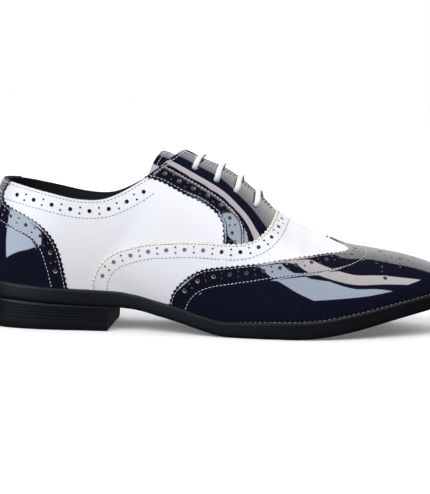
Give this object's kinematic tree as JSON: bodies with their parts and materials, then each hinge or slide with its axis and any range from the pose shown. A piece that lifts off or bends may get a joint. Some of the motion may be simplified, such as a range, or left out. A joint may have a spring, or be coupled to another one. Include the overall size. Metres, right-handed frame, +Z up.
{
  "type": "spectator shoe",
  "caption": "Low laced full-brogue spectator shoe in navy patent and white leather with a moulded black sole and stacked heel.",
  "frame": {"origin": "on the floor, under the middle of the shoe's length and width", "axes": "+X to the toe, -Y to the outer side of the foot, +Z up"},
  "size_m": [0.3056, 0.1042, 0.1142],
  "materials": {
    "black_rubber": "moulded black rubber, low sheen",
    "black_lining": "matte black lining",
    "white_leather": "smooth white leather, soft gloss",
    "navy_patent": "deep navy patent leather, mirror gloss",
    "white_lace": "waxed white cotton lace"
  },
  "bodies": {
    "root": {"outsole": "black_rubber", "heel": "black_rubber", "insole": "black_lining", "upper": "white_leather", "wing_cap": "navy_patent", "vamp": "white_leather", "heel_counter": "navy_patent", "facing_outer": "navy_patent", "facing_inner": "navy_patent", "tongue": "navy_patent", "lace": "white_lace"}
  },
  "joints": []
}
